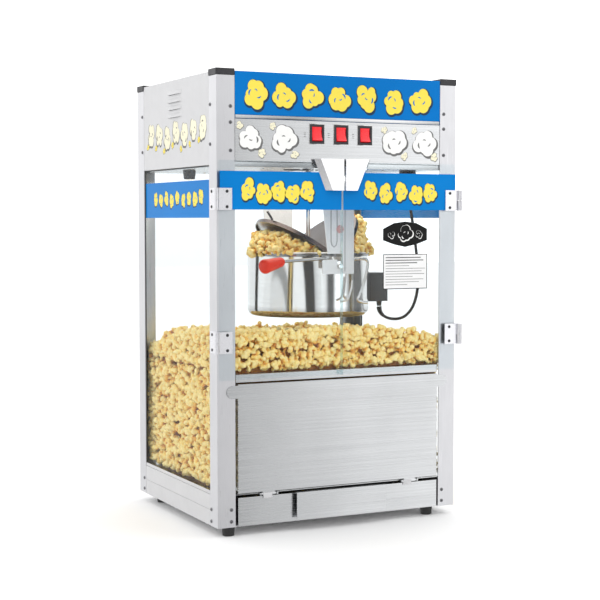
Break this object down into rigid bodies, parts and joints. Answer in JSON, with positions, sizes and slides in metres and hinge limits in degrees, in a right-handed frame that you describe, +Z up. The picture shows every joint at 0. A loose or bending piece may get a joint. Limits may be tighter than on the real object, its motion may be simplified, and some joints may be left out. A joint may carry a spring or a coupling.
{
  "type": "popcorn machine",
  "caption": "Countertop popcorn machine with a glazed cabinet, two glass doors, tilt-out bin panel, kernel drawer and a tipping kettle with raised lids.",
  "frame": {"origin": "centre of the whole bounding box's footprint, on the surface that the feet stand on", "axes": "+X to the machine's right as seen from its front, +Y to its back, +Z up"},
  "size_m": [0.527, 0.4434, 0.857],
  "materials": {
    "post_aluminium": "satin",
    "black_plastic": "satin",
    "foot_rubber": "matte",
    "white_paint": "satin",
    "sheet_steel": "brushed",
    "sign_blue": "gloss",
    "clear_glass": "clear",
    "switch_red": "gloss",
    "grip_red": "gloss",
    "hinge_steel": "satin",
    "handle_steel": "polished",
    "kettle_steel": "polished",
    "lid_steel": "satin",
    "box_paint": "satin",
    "motor_casting": "cast",
    "flex_rubber": "matte",
    "lamp_glass": "frosted",
    "popcorn": "matte"
  },
  "bodies": {
    "root": {"post_front_left": "post_aluminium", "post_front_right": "post_aluminium", "post_rear_left": "post_aluminium", "post_rear_right": "post_aluminium", "cap_front_left": "black_plastic", "cap_front_right": "black_plastic", "cap_rear_left": "black_plastic", "cap_rear_right": "black_plastic", "foot_front_left": "foot_rubber", "foot_front_right": "foot_rubber", "foot_rear_left": "foot_rubber", "foot_rear_right": "foot_rubber", "base_housing": "white_paint", "floor_deck": "sheet_steel", "sill_rail": "sheet_steel", "header_shell": "white_paint", "roof_panel": "white_paint", "ceiling_panel": "sheet_steel", "header_sign": "sign_blue", "control_panel": "sheet_steel", "glass_left": "clear_glass", "glass_right": "clear_glass", "glass_rear": "clear_glass", "switch_housing_1": "black_plastic", "switch_housing_2": "black_plastic", "switch_housing_3": "black_plastic", "post_leaf_lower_left": "hinge_steel", "post_leaf_lower_right": "hinge_steel", "post_leaf_upper_left": "hinge_steel", "post_leaf_upper_right": "hinge_steel", "hanger_front": "white_paint", "hanger_rear": "white_paint", "gear_motor": "motor_casting", "cord_outlet": "black_plastic", "kettle_cord": "flex_rubber", "lamp_socket": "black_plastic", "lamp_bulb": "lamp_glass", "mains_gland": "black_plastic", "popcorn_heap": "popcorn"},
    "door_left": {"door_glass_left": "clear_glass", "door_handle_left": "handle_steel", "door_leaf_lower_left": "hinge_steel", "door_leaf_upper_left": "hinge_steel"},
    "door_right": {"door_glass_right": "clear_glass", "door_handle_right": "handle_steel", "door_leaf_lower_right": "hinge_steel", "door_leaf_upper_right": "hinge_steel"},
    "tilt_panel": {"tilt_panel": "sheet_steel"},
    "kernel_drawer": {"kernel_drawer": "sheet_steel"},
    "rocker_1": {"switch_rocker_1": "switch_red"},
    "rocker_2": {"switch_rocker_2": "switch_red"},
    "rocker_3": {"switch_rocker_3": "switch_red"},
    "kettle": {"kettle_pot": "kettle_steel", "handle_grip": "grip_red", "junction_box": "box_paint", "popcorn_batch": "popcorn"},
    "lid_left": {"kettle_lid_left": "lid_steel"},
    "lid_right": {"kettle_lid_right": "lid_steel"},
    "agitator": {"agitator": "kettle_steel"},
    "drive": {"drive_coupling": "sheet_steel"}
  },
  "joints": [
    {"name": "door_left_swing", "type": "hinge", "parent": "root", "child": "door_left", "pos_m": [-0.259, -0.21485, 0.45], "axis": [0, 0, -1], "range_deg": [0, 170]},
    {"name": "door_right_swing", "type": "hinge", "parent": "root", "child": "door_right", "pos_m": [0.259, -0.21485, 0.45], "axis": [0, 0, 1], "range_deg": [0, 170]},
    {"name": "bin_tilt", "type": "hinge", "parent": "root", "child": "tilt_panel", "pos_m": [0, -0.2054, 0.075], "axis": [1, 0, 0], "range_deg": [0, 60]},
    {"name": "drawer_slide", "type": "slide", "parent": "root", "child": "kernel_drawer", "axis": [0, -1, 0], "range_m": [0, 0.3]},
    {"name": "rocker_1_press", "type": "hinge", "parent": "root", "child": "rocker_1", "pos_m": [-0.051, -0.20235, 0.743], "axis": [1, 0, 0], "range_deg": [0, 18]},
    {"name": "rocker_2_press", "type": "hinge", "parent": "root", "child": "rocker_2", "pos_m": [0, -0.20235, 0.743], "axis": [1, 0, 0], "range_deg": [0, 18]},
    {"name": "rocker_3_press", "type": "hinge", "parent": "root", "child": "rocker_3", "pos_m": [0.051, -0.20235, 0.743], "axis": [1, 0, 0], "range_deg": [0, 18]},
    {"name": "kettle_tip", "type": "hinge", "parent": "root", "child": "kettle", "pos_m": [0.035, 0.00465, 0.493], "axis": [0, -1, 0], "range_deg": [0, 50]},
    {"name": "lid_left_lift", "type": "hinge", "parent": "kettle", "child": "lid_left", "pos_m": [0.021, 0.00465, 0.5235], "axis": [0, 1, 0], "range_deg": [0, 50]},
    {"name": "lid_right_lift", "type": "hinge", "parent": "kettle", "child": "lid_right", "pos_m": [0.049, 0.00465, 0.5235], "axis": [0, -1, 0], "range_deg": [0, 35]},
    {"name": "drive_spin", "type": "hinge", "parent": "root", "child": "drive", "pos_m": [0.035, 0.00465, 0.657], "axis": [0, 0, 1], "continuous": true},
    {"name": "agitator_spin", "type": "hinge", "parent": "kettle", "child": "agitator", "pos_m": [0.035, 0.00465, 0.517], "axis": [0, 0, 1], "continuous": true}
  ],
  "couplings": [
    {"joint": "agitator_spin", "follows": "drive_spin", "ratio": 1}
  ]
}
